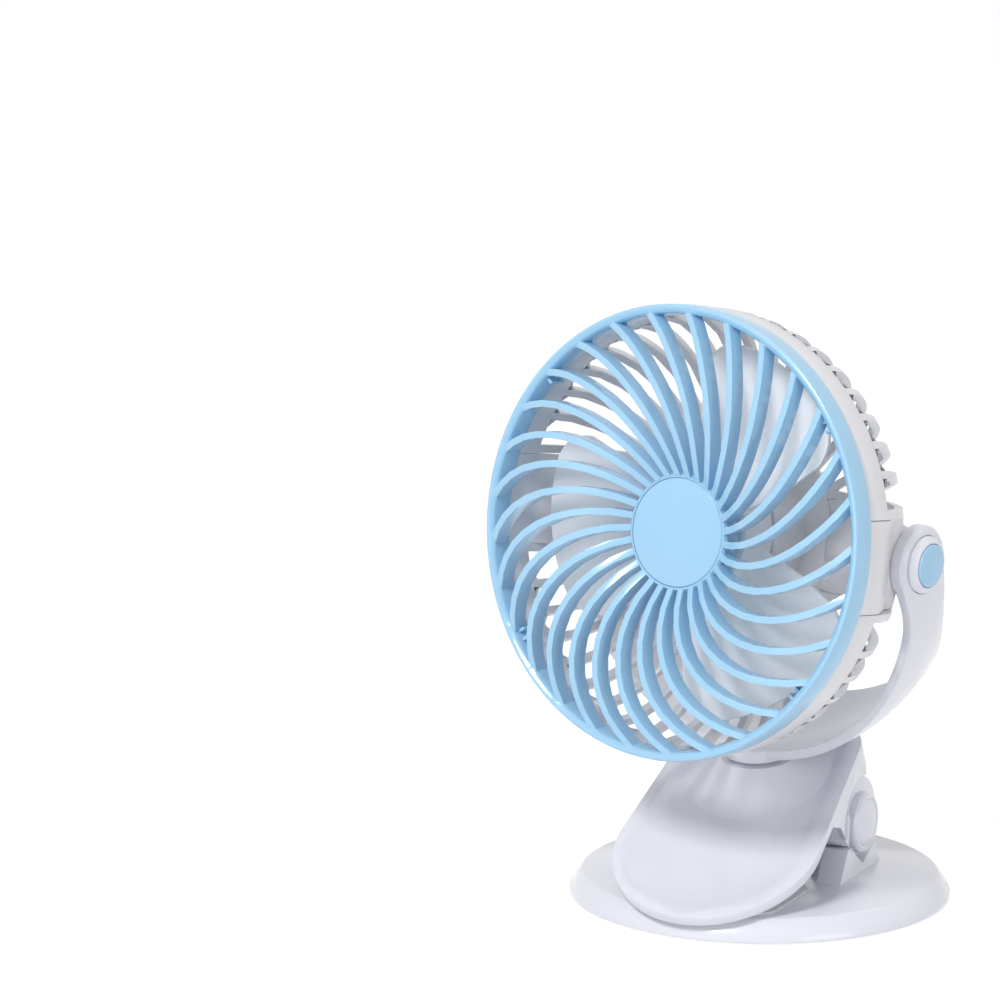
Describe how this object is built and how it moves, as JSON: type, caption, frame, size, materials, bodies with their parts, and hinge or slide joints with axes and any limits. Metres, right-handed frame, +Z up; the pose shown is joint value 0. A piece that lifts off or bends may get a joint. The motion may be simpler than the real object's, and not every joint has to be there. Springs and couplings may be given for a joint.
{
  "type": "clip fan",
  "caption": "Small round fan head with swept front grille, tilting in a swivelling bowl cradle on a spring clip arm with a round base.",
  "frame": {"origin": "centre of the round base on the table plane", "axes": "+Z up; -Y towards the jaw tip and the air stream; +X to the right seen from the front"},
  "size_m": [0.1549, 0.1418, 0.2067],
  "materials": {
    "body_white": "gloss",
    "accent_blue": "gloss",
    "frosted_clear": "frosted",
    "rubber_grey": "matte",
    "screw_steel": "satin",
    "pin_steel": "satin",
    "spring_steel": "satin",
    "socket_steel": "satin",
    "motor_steel": "satin",
    "board_green": "matte"
  },
  "bodies": {
    "base": {"base_shell": "body_white", "base_cover": "body_white", "foot_ring": "rubber_grey", "base_screws": "screw_steel", "lower_grip": "rubber_grey", "hinge_pin": "pin_steel", "torsion_spring": "spring_steel"},
    "arm": {"arm_top_shell": "body_white", "arm_lower_shell": "body_white", "jaw_pad": "rubber_grey", "hinge_cap_right": "body_white", "hinge_cap_left": "body_white", "arm_screws": "screw_steel"},
    "cradle": {"cradle": "body_white", "swivel_screw": "screw_steel", "pivot_cap_right": "body_white", "pivot_cap_left": "body_white", "pivot_insert_right": "accent_blue", "pivot_insert_left": "accent_blue"},
    "head": {"front_grille": "accent_blue", "hub_disc": "accent_blue", "rear_housing": "body_white", "pivot_pod_right": "body_white", "pivot_pod_left": "body_white", "rear_cap": "body_white", "rear_screws": "screw_steel", "circuit_board": "board_green", "usb_socket": "socket_steel", "motor_stator": "motor_steel"},
    "button": {"speed_button": "accent_blue"},
    "fan": {"impeller": "frosted_clear", "rotor": "motor_steel", "motor_shaft": "pin_steel"}
  },
  "joints": [
    {"name": "clip_hinge", "type": "hinge", "parent": "base", "child": "arm", "pos_m": [0, 0.0116, 0.0251], "axis": [-1, 0, 0], "range_deg": [0, 35], "stiffness_Nm_per_rad": 0.9, "springref_deg": -40.11},
    {"name": "yoke_swivel", "type": "hinge", "parent": "arm", "child": "cradle", "pos_m": [0, -0.00203, 0.04788], "axis": [0, -0.1478, 0.989], "range_deg": [-157.3, 180]},
    {"name": "head_tilt", "type": "hinge", "parent": "cradle", "child": "head", "pos_m": [0, -0.0139, 0.1273], "axis": [-0.9755, 0.2174, 0.0325], "range_deg": [-14, 70]},
    {"name": "impeller_spin", "type": "hinge", "parent": "head", "child": "fan", "pos_m": [0, -0.0139, 0.1273], "axis": [-0.211, -0.9675, 0.1392], "continuous": true},
    {"name": "button_press", "type": "slide", "parent": "head", "child": "button", "axis": [-0.211, -0.9675, 0.1392], "range_m": [0, 0.001], "stiffness_N_per_m": 800, "springref_m": -0.0005}
  ]
}
